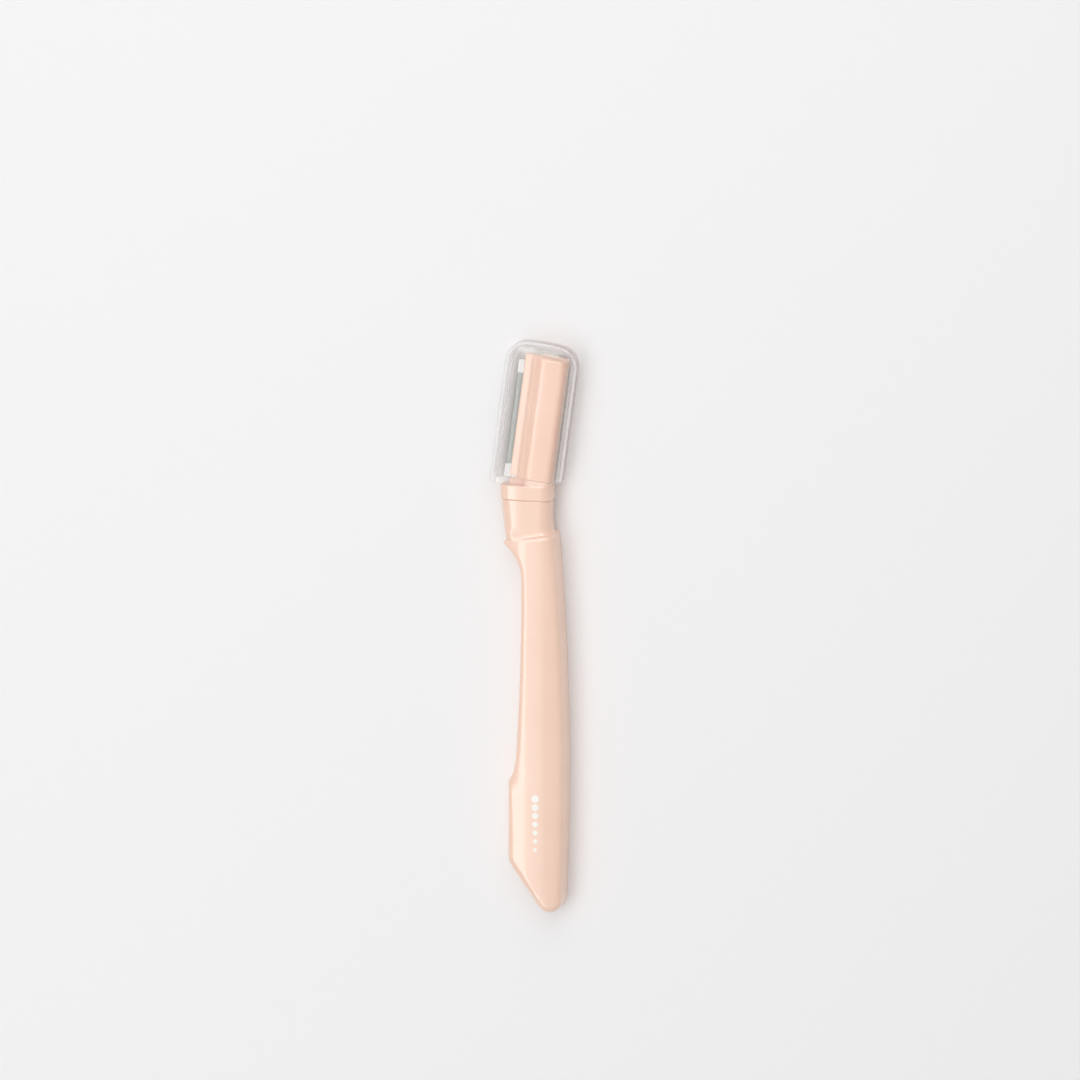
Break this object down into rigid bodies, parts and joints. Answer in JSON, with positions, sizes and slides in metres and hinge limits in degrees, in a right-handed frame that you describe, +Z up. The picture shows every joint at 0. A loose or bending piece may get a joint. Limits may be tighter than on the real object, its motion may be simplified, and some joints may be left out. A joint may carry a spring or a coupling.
{
  "type": "eyebrow razor",
  "caption": "Slim one-piece moulded handle with a finger rest and paddle tail, a leaning guarded blade head on a collar, and a clear slip-on cap.",
  "frame": {"origin": "under the middle of the whole razor with its cap on, on the plane that it lies on", "axes": "+Y along the handle towards the head, +X to the side away from the blade's edge, +Z up from the flat back"},
  "size_m": [0.0212, 0.1394, 0.0082],
  "materials": {
    "peach_plastic": "glossy pearl peach moulding",
    "blade_steel": "ground blade steel",
    "guard_steel": "thin slotted sheet",
    "clear_plastic": "clear polished moulding"
  },
  "bodies": {
    "razor": {"handle": "peach_plastic", "head_frame": "peach_plastic", "head_cover": "peach_plastic", "blade": "blade_steel", "guard": "guard_steel"},
    "cap": {"cap": "clear_plastic"}
  },
  "joints": [
    {"name": "cap_slide", "type": "slide", "parent": "razor", "child": "cap", "axis": [0.1323, 0.9912, 0], "range_m": [0, 0.036]}
  ]
}
